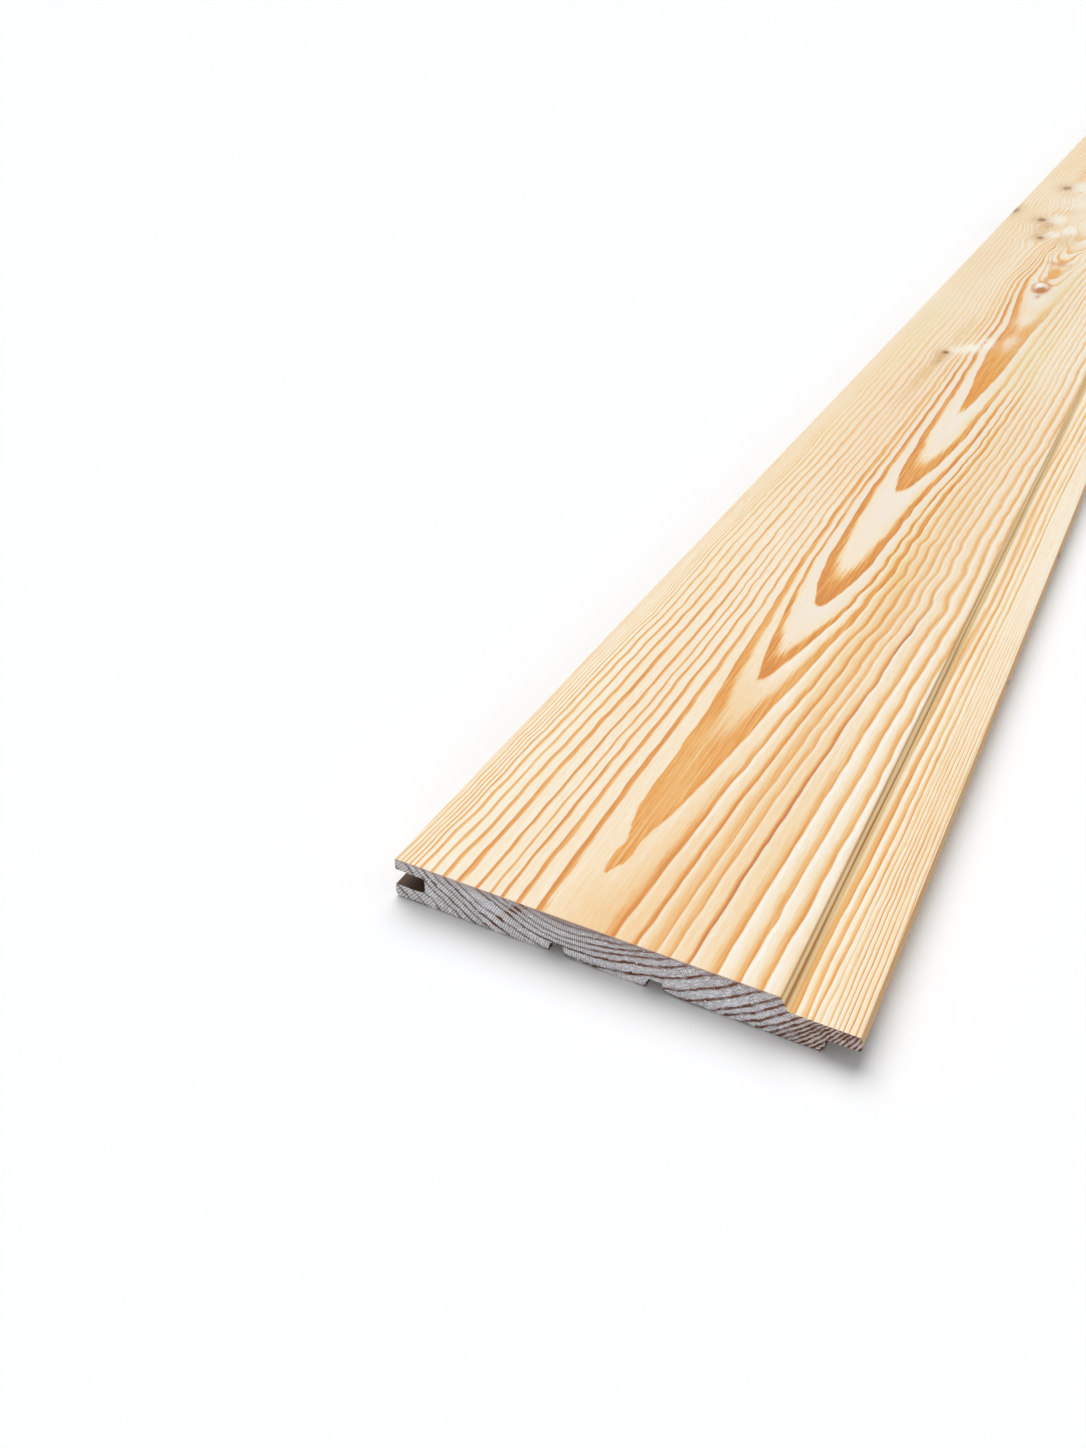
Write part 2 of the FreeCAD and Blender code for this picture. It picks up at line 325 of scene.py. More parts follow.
def growth(x, s, d):
    """Ring count, latewood start, latewood strength and the dark split along a ring edge."""
    x, s, d = np.broadcast_arrays(np.asarray(x, float), np.asarray(s, float), np.asarray(d, float))
    v, w = measure(x, s, d)
    n = count_rings(v)
    # beyond the face: down the shoulder, over the ledge and tongue, and fading in under the board
    wobble = .05 * wob_b(x, s, d) + .09 * wob_a(x * .5, s, d)
    ledge = ledge_count(x, s + wobble) + .5 * np.clip(d - 3.55, 0, None)
    foot = ledge_count(x, 102.6 + wobble)
    brow = count_rings(measure(x, np.full(x.shape, 100.5), np.zeros(x.shape))[0])
    t = np.clip((s - 100.5) / 2.1, 0, 1)
    slope = (s > 100.5) & (s < 102.6) & (d < 3.6)
    under = smooth(80, 112, s) * (d > 8)
    n = np.where(slope, brow * (1 - t) + foot * t, np.where((s >= 102.6) & (d < 11.9), ledge, n * (1 - under) + ledge * under))
    k = np.floor(n)
    f = n - k
    i = np.clip(k - LOW, 0, HIGH - LOW - 1).astype(int)
    t = smooth(0.02, .3, f)
    right = smooth(-3, 3, w)
    far = smooth(60, 150, x)
    out = []
    for c in (0, 1):
        val = 0
        for side, ws in ((0, 1 - right), (1, right)):
            a = par[side, c][i] * (1 - far) + par[side, c + 2][i] * far
            b = par[side, c][i + 1] * (1 - far) + par[side, c + 2][i + 1] * far
            val = val + ws * (a * (1 - t) + b * t)
        out.append(val)
    # fainter figure: the left half further on, the tip of the ledge beyond the near part
    left = (1 - right) * (s < 42)
    out[0] = out[0] - left * .17 * smooth(230, 340, x)
    out[1] = out[1] * (1 - left * (.36 * smooth(290, 370, x)))
    out[1] = out[1] * (1 - (1 - right) * (k >= -2) * .30 * smooth(440, 540, x))
    out[0] = out[0] - (1 - right) * (k >= -2) * (s < 50) * .10 * smooth(440, 540, x)
    # a pale quiet area in the right half beyond the last flame's tip
    quiet = right * smooth(61, 68, s) * (1 - smooth(86, 92, s)) * smooth(410, 470, x)
    out[1] = out[1] * (1 - .50 * quiet)
    # the tip beyond the eye is short, and the rings behind it fade sideways
    six = (k == -7) & (s < 95)
    out[1] = np.where(six, out[1] * (.25 + .75 * np.exp(-((s - 55.5) / 3.6) ** 2)), out[1])
    out[1] = out[1] * (1 - .85 * smooth(170, 250, x) * smooth(15.0, 15.8, n) * (s > 102))
    # a split follows the edge of ring 5 on the right
    near5 = smooth(4.55, 4.8, n) * (1 - smooth(5.02, 5.25, n)) * (w > 0) * (d < 1)
    split = near5 * (.35 * np.exp(-((x - 150) / 46) ** 2) + .75 * np.exp(-((x - 173) / 11) ** 2) + .45 * np.exp(-((x - 45) / 50) ** 2) + .25 * (x < 215))
    return n, out[0], out[1], split, w


# Growth rings as they run through the sawn end: ring number and points (s, depth) along its dark line
END_RINGS = [
    (12, [(1.6, 4.0), (4.0, 7.0), (7.5, 10.6), (8.6, 11.8)]),
    (11, [(3.4, 1.0), (6.6, 5.0), (9.6, 8.6), (12.6, 11.8)]),
    (10.5, [(8.4, 5.6), (12.1, 7.9), (13.8, 9.1), (15.9, 10.7), (17.6, 11.8)]),
    (10, [(5.6, .3), (9.4, 4.6), (13.2, 7.3), (14.7, 8.7), (16.5, 9.8), (18.2, 11.2), (19.3, 12.0)]),
    (9, [(7.3, 0), (8.5, 1.0), (9.7, 2.3), (11.2, 3.7), (11.8, 4.3), (13.8, 5.5), (15.9, 6.9), (17.6, 8.1), (20, 9.7), (21.8, 10.9), (23.2, 12)]),
    (8, [(10.5, 0), (14.6, 3.4), (19.5, 6.6), (22.3, 8.7), (23.8, 9.8), (25.6, 10.7), (27.3, 11.8)]),
    (7, [(13.9, 0), (14.7, 1.2), (16, 2), (17.8, 3.2), (20, 4.8), (21.8, 6), (23.5, 7.2), (25.9, 8.4), (28, 9.5), (30.3, 10.5), (33, 11.7)]),
    (6, [(17.7, 0), (18.2, .9), (19.6, 1.8), (21, 3), (22, 3.7), (23.5, 4.7), (25.5, 5.7), (27.5, 6.4), (29, 7), (31, 7.9), (34, 8.8), (36, 9.6), (38.4, 10.4), (41.5, 11.4)]),
    (5, [(22.9, 0), (24.1, 1.0), (25.9, 1.9), (28.2, 3.0), (29.9, 3.8), (31.6, 4.5), (33.8, 5.7), (36.8, 7.2), (39.4, 7.9), (42, 8.3), (46, 8.7), (51, 8.7), (55, 8.5),
         (58.8, 7.9), (61.2, 7.3), (63.5, 6.4), (65.3, 6.0), (67.4, 5.5), (69.4, 5.1), (71.8, 4.3), (73.5, 3.6), (75.4, 2.6), (77, 1.6), (78.6, 0)]),
    (4, [(26.9, 0), (27.4, .8), (29, 1.6), (31, 2.5), (33.5, 3.4), (36, 4.5), (38, 5.4), (40, 6.2), (41.8, 6.7), (45.9, 7.2), (49.4, 7.1), (53, 6.8), (58, 5.9), (60.8, 5.1), (62, 4.7),
         (64.5, 4.0), (68, 3.0), (70, 2.4), (72, 1.7), (74.0, .4)]),
    (3, [(30.0, 0), (31.2, .8), (33.2, 1.7), (35, 2.3), (36.5, 3.1), (38.5, 4.0), (41.8, 5.1), (45.9, 5.7), (48.8, 5.6), (52, 5.2), (54.5, 4.8), (57, 4.4), (60, 3.7), (62, 3.2), (64.3, 2.5),
         (67, 1.4), (69, .8), (70.5, .1)]),
    (2, [(34.2, 0), (35.8, .6), (37, 1.1), (38, 1.6), (40, 2.2), (41.8, 2.8), (44.4, 3.4), (48.8, 3.7), (51.8, 3.4), (53.5, 3.0), (55, 2.7), (58, 2.3), (61, 1.8), (63, 1.2), (65.5, .1)]),
    (1, [(39.5, 0), (41, .6), (43, 1.1), (46, 1.5), (49, 1.6), (52.3, 1.4), (54, 1.1), (57, .7), (60, .1)]),
    (6, [(54.3, 11.4), (57, 11.1), (60, 10.5), (62.4, 10.1), (65, 9.4), (68, 8.4), (71, 7.6), (73.3, 7.0), (75.5, 6.0), (78.2, 4.8), (80, 3.6), (82, 2.2), (84.3, 1.0), (85.5, 0)]),
    (7, [(68.0, 11.8), (72.7, 10.5), (75, 9.9), (77, 9.3), (79, 8.3), (80.7, 7.2), (82.5, 6.1), (84.7, 4.9), (85.9, 4.3), (87.4, 3.2), (88.8, 2.0), (90.1, 1.0), (91.0, 0)]),
    (8, [(77.2, 11.8), (79, 11.4), (80.7, 10.8), (82.6, 9.6), (84.7, 8.4), (86.8, 7.3), (88.5, 6.0), (90.3, 4.8), (92.4, 3.1), (95.3, 1.0), (96.4, 0)]),
    (9, [(85.6, 11.7), (87.4, 10.3), (89.4, 9.0), (91.8, 7.5), (92.9, 6.6), (95, 5.1), (96.5, 3.7), (98.2, 2.3), (100, .8)]),
    (10, [(87.8, 12), (89.7, 10.9), (91.8, 9.6), (93.8, 8.5), (96.5, 6.6), (98.2, 5.1), (99.1, 4.3), (100.6, 2.8), (101.5, 2.0)]),
    (11, [(92.4, 12), (94.4, 10.5), (96.5, 9.4), (98.8, 7.3), (100.6, 5.7), (101.8, 4.5), (102.6, 3.7)]),
    (12, [(96.2, 11.8), (98.2, 10.5), (100.6, 8.8), (102.4, 7.3), (103.5, 6.0), (105, 4.6), (105.9, 3.7)]),
    (13, [(99.7, 11.6), (101.8, 9.8), (103.5, 8.2), (105, 6.6), (106.5, 5.1), (107.9, 3.6)]),
    (14, [(101.5, 11.8), (103.5, 9.8), (105.6, 7.8), (107.4, 6.0), (108.5, 4.6), (109.4, 3.6)]),
    (15, [(103.2, 11.8), (105.3, 9.6), (107.4, 7.5), (108.8, 5.7), (110, 4.2), (110.5, 3.6)]),
    (16, [(104.7, 11.7), (106.5, 9.8), (108.2, 8.0), (109.7, 6.2), (111.0, 4.2), (111.5, 3.5)]),
    (17, [(106.5, 11.7), (108.2, 9.6), (110, 7.3), (111.2, 5.5), (112.5, 3.6)]),
    (18, [(107.9, 11.7), (109.7, 9.6), (110.9, 7.8), (112.1, 6.0), (112.9, 4.8), (113.6, 3.6)]),
    (19, [(109.4, 11.7), (110.9, 9.8), (112.1, 8.0), (113.2, 6.2), (114.1, 4.8), (114.8, 3.6)]),
    (20, [(110.9, 11.7), (111.9, 10.2), (113.8, 6.9), (115, 5.1), (115.9, 3.6)]),
    (21, [(112.3, 11.7), (114.7, 7.1), (115.9, 5.3), (116.9, 3.6)]),
    (22, [(116.0, 7.1), (117, 5.3), (117.9, 3.6)]),
    (23, [(117.3, 7.1), (118.2, 5.3), (118.9, 3.6)]),
    (24, [(118.5, 7.1), (119.2, 5.4), (119.8, 3.6)]),
]


def thin_plate(points, values, stiff=.6):
    """Thin plate spline through points (s, depth), lightly smoothed."""
    p = np.array(points, float)
    n = len(p)

    def kernel(a, b):
        r2 = ((a[:, None] - b[None]) ** 2).sum(-1)
        return .5 * r2 * np.log(r2 + 1e-9)

    m = np.zeros((n + 3, n + 3))
    m[:n, :n] = kernel(p, p) + np.eye(n) * stiff
    m[:n, n:] = np.column_stack([np.ones(n), p])
    m[n:, :n] = m[:n, n:].T
    sol = np.linalg.solve(m, np.concatenate([values, np.zeros(3)]))

    def f(s, d):
        q = np.column_stack([np.ravel(s), np.ravel(d) * 1.5])
        return kernel(q, p) @ sol[:n] + sol[n] + q @ sol[n + 1:]

    return f


end_ring = thin_plate([(a, b * 1.5) for _, pts in END_RINGS for a, b in pts], np.array([k for k, pts in END_RINGS for _ in pts], float))


def end_growth(s, d):
    """Ring count in the sawn end, whole on the dark lines, and rings per millimetre."""
    n = end_ring(s, d)
    e = .15
    gs = (end_ring(s + e, d) - end_ring(s - e, d)) / (2 * e)
    gd = (end_ring(s, d + e) - end_ring(s, d - e)) / (2 * e)
    return n, np.clip(np.hypot(gs, gd), .12, 1.6)


# ---------------------------------------------------------------- stations along the board
def stations():
    xs = [0, .25, .6, 1.1, 1.8, 2.7, 4, 5.6, 7.6, 10]
    x = 10.0
    for until, step in ((300, 3.3), (650, 4.2), (1330, 6.5), (2380, 14.0)):
        m = int(round((until - x) / step))
        xs += list(np.linspace(x, until, m + 1)[1:])
        x = until
    xs += [2388, 2394, 2398, 2399.4, 2400]
    return np.array(xs, float)


xs = stations()
R = len(xs)


def place(x, s, z):
    return np.stack([1.2 - x / 1000, (s - WIDTH / 2) / 1000, z / 1000], -1)


X = np.repeat(xs[:, None], P, 1)
S = np.repeat(ring[None, :, 0], R, 0)
Z = np.repeat(ring[None, :, 1], R, 0)
D = THICK - Z
NS = np.repeat(ring_n[None, :, 0], R, 0)
NZ = np.repeat(ring_n[None, :, 1], R, 0)
ZONE = np.repeat(ring_zone[None, :], R, 0)

# Relief of the surface, always inwards: planer waves, soft early wood, worn arrises and torn fibres at the sawn ends
rel_a, rel_b, rel_c = wave(21, 14, 3.0), wave(22, 3.2, 2.2), wave(23, 90, 26)
n_all, start_all, late_all, split_all, w_all = growth(X, S, D)
frac = n_all - np.floor(n_all)
soft_wood = (1 - smooth(.35, .75, frac)) * smooth(0, .12, frac)
inward = .022 * soft_wood * (ZONE <= 1) + .02 * (1 + rel_c(X, S, D))
rough_zone = (ZONE >= 3).astype(float)
inward += rough_zone * .05 * np.clip(rel_a(X, S, D), 0, None)
edge_end = np.exp(-X / 1.3) + np.exp(-(LENGTH - X) / 1.3)
low_side = (Z < 1.0) | ((ZONE == 5) & (Z < 2.6))
inward += edge_end * low_side * (.08 + .42 * np.clip(rel_b(X * .3, S, D), 0, 1) ** 2)
inward += edge_end * (ZONE >= 2) * .05 * np.clip(rel_b(X, S * 1.7, D), 0, 1)
# torn corner at the left of each land that follows a slot
for c in (47.5, 73.1):
    inward += np.exp(-X / 2.2) * .95 * np.exp(-((S - c - .5) / 1.0) ** 2) * np.exp(-(Z / 1.3) ** 2)
flat_top = (Z > 11.9) & (NZ > .99)
inward = np.where(flat_top, inward * .6, inward)
inward = np.clip(inward, 0, 1.2)
Sd, Zd = S - NS * inward, Z - NZ * inward
Zd = np.maximum(Zd, 0)
body = place(X, Sd, Zd).reshape(-1, 3)


def inside(px, pz):
    """Even-odd test of points against the outline."""
    hit = np.zeros(len(px), bool)
    a, b = ring, np.roll(ring, -1, 0)
    for (x0, z0), (x1, z1) in zip(a, b):
        if z0 == z1:
            continue
        m = (z0 > pz) != (z1 > pz)
        hit ^= m & (px < (x1 - x0) * (pz - z0) / (z1 - z0) + x0)
    return hit


def cap(step, seed):
    """Triangles of an end: points (s, z) inside the outline and triangles over outline and inner points."""
    g = np.random.default_rng(seed)
    gx, gz = np.meshgrid(np.arange(step / 2, WIDTH, step), np.arange(step / 2, THICK, step))
    px = gx.ravel() + g.uniform(-.33, .33, gx.size) * step
    pz = gz.ravel() + g.uniform(-.33, .33, gx.size) * step
    m = inside(px, pz)
    px, pz = px[m], pz[m]
    fine = []
    for i in range(P):
        a, b = ring[i], ring[(i + 1) % P]
        k = max(1, int(np.linalg.norm(b - a) / .3))
        for j in range(k):
            fine.append(a + (b - a) * j / k)
    fine = np.array(fine)
    keep = np.ones(len(px), bool)
    for i in range(0, len(px), 400):
        q = np.stack([px[i:i + 400], pz[i:i + 400]], -1)
        dist = np.sqrt(((q[:, None] - fine[None]) ** 2).sum(-1)).min(1)
        keep[i:i + 400] = dist > step * .5
    px, pz = px[keep], pz[keep]
    co = [Vector((float(a), float(b))) for a, b in ring] + [Vector((float(a), float(b))) for a, b in zip(px, pz)]
    edges = [(i, (i + 1) % P) for i in range(P)]
    got = delaunay_2d_cdt(co, edges, [], 1, 1e-6)
    back = [o[0] if o else -1 for o in got[3]]
    tris = [tuple(back[v] for v in f) for f in got[2]]
    tris = [f for f in tris if min(f) >= 0 and len(set(f)) == 3]
    return px, pz, tris


near_s, near_z, near_tris = cap(.56, 31)
far_s, far_z, far_tris = cap(1.3, 32)
gr = np.random.default_rng(41)
saw_a, saw_b = wave(51, 1e6, 2.4), wave(52, 1e6, 7.0)


def ragged(s, z, seed):
    """Depth in X of the sawn surface inside an end."""
    g = np.random.default_rng(seed)
    d = THICK - z
    v = .05 + .05 * saw_a(0 * s, s, d * 1.6) + .04 * saw_b(0 * s, s, d * 1.6)
    v = v + .10 * g.random(len(s)) ** 2 * (d > .8)
    v = v + (g.random(len(s)) < .035) * .35 * (d > 1.5)
    return np.clip(v, 0, .6)


near_x = ragged(near_s, near_z, 61)
far_x = LENGTH - ragged(far_s, far_z, 62)
co_all = np.concatenate([body, place(near_x, near_s, near_z), place(far_x, far_s, far_z)])
n_body = R * P
n_near = n_body + len(near_s)

# ---------------------------------------------------------------- faces and texture layout
# The layout unrolls the section up the picture and the length across it, nearer parts larger; the ends lie in two strips.
u_of = monotone([0, 600, 1330, 2400], [.003, .403, .713, .997])(xs)
v_of = .006 + .834 * along / along[-1]
faces, uvs, mats = [], [], []
J = np.arange(P)
Jn = (J + 1) % P
for i in range(R - 1):
    a = i * P + J
    b = i * P + Jn
    c = (i + 1) * P + Jn
    e = (i + 1) * P + J
    faces.append(np.stack([a, b, c, e], -1))
    uv = np.stack([
        np.stack([np.full(P, u_of[i]), v_of[:-1]], -1), np.stack([np.full(P, u_of[i]), v_of[1:]], -1),
        np.stack([np.full(P, u_of[i + 1]), v_of[1:]], -1), np.stack([np.full(P, u_of[i + 1]), v_of[:-1]], -1)], 1)
    uvs.append(uv.reshape(-1, 2))
quads = np.concatenate(faces)
uv_quads = np.concatenate(uvs)


def end_uv(s, z, left):
    return np.stack([left + s / WIDTH * .485, .856 + z / THICK * .136], -1)


near_s_all = np.concatenate([ring[:, 0], near_s])
near_z_all = np.concatenate([ring[:, 1], near_z])
far_s_all = np.concatenate([ring[:, 0], far_s])
far_z_all = np.concatenate([ring[:, 1], far_z])
nt = np.array(near_tris)
ft = np.array(far_tris)[:, ::-1]
nt_id = np.where(nt < P, nt, nt - P + n_body)
ft_id = np.where(ft < P, ft + (R - 1) * P, ft - P + n_near)
uv_n = end_uv(near_s_all[nt.ravel()], near_z_all[nt.ravel()], .006)
uv_f = end_uv(far_s_all[ft.ravel()], far_z_all[ft.ravel()], .508)

mesh = bpy.data.meshes.new("board_wood")
loops = np.concatenate([quads.ravel(), nt_id.ravel(), ft_id.ravel()]).astype(np.int32)
sizes = np.concatenate([np.full(len(quads), 4), np.full(len(nt_id) + len(ft_id), 3)]).astype(np.int32)
starts = np.concatenate([[0], np.cumsum(sizes)[:-1]]).astype(np.int32)
mesh.vertices.add(len(co_all))
mesh.vertices.foreach_set("co", co_all.astype(np.float32).ravel())
mesh.loops.add(len(loops))
mesh.loops.foreach_set("vertex_index", loops)
mesh.polygons.add(len(sizes))
mesh.polygons.foreach_set("loop_start", starts)
mesh.polygons.foreach_set("loop_total", sizes)
mat_id = np.concatenate([np.zeros(len(quads)), np.ones(len(nt_id) + len(ft_id))]).astype(np.int32)
mesh.update(calc_edges=True)
mesh.polygons.foreach_set("material_index", mat_id)
mesh.polygons.foreach_set("use_smooth", np.ones(len(sizes), bool))
layer = mesh.uv_layers.new(name="OFBake")
layer.data.foreach_set("uv", np.concatenate([uv_quads, uv_n, uv_f]).astype(np.float32).ravel())
# the edge between a side and a sawn end is sharp
ev = np.zeros(len(mesh.edges) * 2, np.int32)
mesh.edges.foreach_get("vertices", ev)
ev = ev.reshape(-1, 2)
sharp = ((ev < P).all(1)) | (((ev >= (R - 1) * P) & (ev < n_body)).all(1))
flag = mesh.attributes.get("sharp_edge") or mesh.attributes.new("sharp_edge", "BOOLEAN", "EDGE")
flag.data.foreach_set("value", sharp)

# growth data for the wood
end_n = growth(near_x, near_s, THICK - near_z)
end_f = growth(far_x, far_s, THICK - far_z)
full = [np.concatenate([a.ravel(), b, c]) for a, b, c in zip((n_all, start_all, late_all, split_all), end_n[:4], end_f[:4])]
for name, data in zip(("grain", "early", "late", "split"), full):
    at = mesh.attributes.new(name, "FLOAT", "POINT")
    at.data.foreach_set("value", data.astype(np.float32))
# the same for the sawn ends, at the points of the two caps
rings, pitch = np.zeros(len(co_all)), np.full(len(co_all), .4)
cap_ids = np.concatenate([np.arange(P), np.arange(n_body, n_near)])
rings[cap_ids], pitch[cap_ids] = end_growth(np.concatenate([ring[:, 0], near_s]), THICK - np.concatenate([ring[:, 1], near_z]))
far_ids = np.concatenate([np.arange((R - 1) * P, n_body), np.arange(n_near, len(co_all))])
rings[far_ids], pitch[far_ids] = end_growth(np.concatenate([ring[:, 0], far_s]) * .97 + 2.5, THICK * .9 - np.concatenate([ring[:, 1], far_z]) * .9)
for name, data in (("rings", rings), ("pitch", pitch)):
    at = mesh.attributes.new(name, "FLOAT", "POINT")
    at.data.foreach_set("value", data.astype(np.float32))
wood = np.concatenate([
    np.stack([X.ravel(), S.ravel(), D.ravel()], -1), np.stack([near_x, near_s, THICK - near_z], -1),
    np.stack([far_x, far_s, THICK - far_z], -1)])
at = mesh.attributes.new("wood", "FLOAT_VECTOR", "POINT")
at.data.foreach_set("vector", wood.astype(np.float32).ravel())
z_rough = np.concatenate([np.take(np.array([0, .0, .25, .62, .8, 1.0, .2]), ZONE).ravel(), np.zeros(len(near_s) + len(far_s))])
at = mesh.attributes.new("sawn", "FLOAT", "POINT")
at.data.foreach_set("value", z_rough.astype(np.float32))
mesh.validate(clean_customdata=False)
board = bpy.data.objects.new("board_wood", mesh)
bpy.context.scene.collection.objects.link(board)


# ---------------------------------------------------------------- materials
def lin(c):
    return tuple((v / 255 / 12.92) if v / 255 <= .04045 else ((v / 255 + .055) / 1.055) ** 2.4 for v in c) + (1.0,)


class Nodes:
    """Short helpers to build a node tree."""

    def __init__(self, name):
        self.mat = bpy.data.materials.new(name)
        self.mat.use_nodes = True
        self.t = self.mat.node_tree
        self.t.nodes.clear()
        self.out = self.t.nodes.new("ShaderNodeOutputMaterial")
        self.bsdf = self.t.nodes.new("ShaderNodeBsdfPrincipled")
        self.t.links.new(self.bsdf.outputs[0], self.out.inputs[0])

    def put(self, sock, v):
        if v is None:
            return
        if isinstance(v, bpy.types.NodeSocket):
            self.t.links.new(v, sock)
        else:
            sock.default_value = v

    def m(self, op, a, b=None, c=None, clamp=False):
        n = self.t.nodes.new("ShaderNodeMath")
        n.operation = op
        n.use_clamp = clamp
        for i, v in enumerate((a, b, c)):
            self.put(n.inputs[i], v)
        return n.outputs[0]

    def add(self, a, b):
        return self.m("ADD", a, b)

    def mul(self, a, b):
        return self.m("MULTIPLY", a, b)

    def sub(self, a, b):
        return self.m("SUBTRACT", a, b)

    def sm(self, a, b, x, lo=0.0, hi=1.0):
        n = self.t.nodes.new("ShaderNodeMapRange")
        n.interpolation_type = "SMOOTHSTEP"
        self.put(n.inputs["Value"], x)
        self.put(n.inputs["From Min"], a)
        self.put(n.inputs["From Max"], b)
        self.put(n.inputs["To Min"], lo)
        self.put(n.inputs["To Max"], hi)
        return n.outputs[0]

    def lr(self, a, b, x, lo=0.0, hi=1.0):
        n = self.t.nodes.new("ShaderNodeMapRange")
        self.put(n.inputs["Value"], x)
        self.put(n.inputs["From Min"], a)
        self.put(n.inputs["From Max"], b)
        self.put(n.inputs["To Min"], lo)
        self.put(n.inputs["To Max"], hi)
        return n.outputs[0]

    def attr(self, name, vec=False):
        n = self.t.nodes.new("ShaderNodeAttribute")
        n.attribute_type = "GEOMETRY"
        n.attribute_name = name
        return n.outputs["Vector" if vec else "Fac"]

    def scale(self, v, k):
        n = self.t.nodes.new("ShaderNodeVectorMath")
        n.operation = "MULTIPLY"
        self.put(n.inputs[0], v)
        n.inputs[1].default_value = k
        return n.outputs[0]

    def shift(self, v, w):
        n = self.t.nodes.new("ShaderNodeVectorMath")
        n.operation = "ADD"
        self.put(n.inputs[0], v)
        self.put(n.inputs[1], w)
        return n.outputs[0]

    def noise(self, v, k, detail=2.0, rough=.5, distort=0.0):
        n = self.t.nodes.new("ShaderNodeTexNoise")
        n.noise_dimensions = "3D"
        self.put(n.inputs["Vector"], self.scale(v, k))
        n.inputs["Scale"].default_value = 1.0
        n.inputs["Detail"].default_value = detail
        n.inputs["Roughness"].default_value = rough
        n.inputs["Distortion"].default_value = distort
        return n.outputs["Fac"]

    def cells(self, v, k, feature="F1"):
        n = self.t.nodes.new("ShaderNodeTexVoronoi")
        n.feature = feature
        self.put(n.inputs["Vector"], self.scale(v, k))
        n.inputs["Scale"].default_value = 1.0
        return n

    def ramp(self, x, stops):
        n = self.t.nodes.new("ShaderNodeValToRGB")
        r = n.color_ramp
        while len(r.elements) < len(stops):
            r.elements.new(.5)
        for e, (p, c) in zip(r.elements, stops):
            e.position = p
            e.color = lin(c)
        self.put(n.inputs[0], x)
        return n.outputs[0]

    def mix(self, f, a, b, mode="MIX"):
        n = self.t.nodes.new("ShaderNodeMix")
        n.data_type = "RGBA"
        n.blend_type = mode
        n.clamp_factor = True
        self.put(n.inputs[0], f)
        for i, v in ((6, a), (7, b)):
            self.put(n.inputs[i], lin(v) if isinstance(v, tuple) and len(v) == 3 else v)
        return n.outputs[2]

    def parts(self, v):
        n = self.t.nodes.new("ShaderNodeSeparateXYZ")
        self.put(n.inputs[0], v)
        return n.outputs

    def blob(self, x, s, cx, cs, rx, rs):
        """Falls from 1 at a centre to 0, elliptical."""
        a = self.m("POWER", self.m("DIVIDE", self.sub(x, cx), rx), 2.0)
        b = self.m("POWER", self.m("DIVIDE", self.sub(s, cs), rs), 2.0)
        return self.m("EXPONENT", self.mul(self.add(a, b), -1.0))

    def bump(self, h, dist, strength=1.0, base=None):
        n = self.t.nodes.new("ShaderNodeBump")
        n.inputs["Distance"].default_value = dist
        n.inputs["Strength"].default_value = strength
        self.put(n.inputs["Height"], h)
        if base is not None:
            self.put(n.inputs["Normal"], base)
        return n.outputs[0]


WOOD = [
    (0.0, (251, 247, 238)), (.113, (249, 238, 220)), (.227, (246, 228, 198)), (.34, (244, 217, 176)), (.455, (242, 206, 155)),
    (.57, (239, 194, 136)), (.687, (236, 181, 116)), (.80, (233, 168, 96)), (.915, (229, 156, 78)), (1.0, (216, 139, 64)),
]


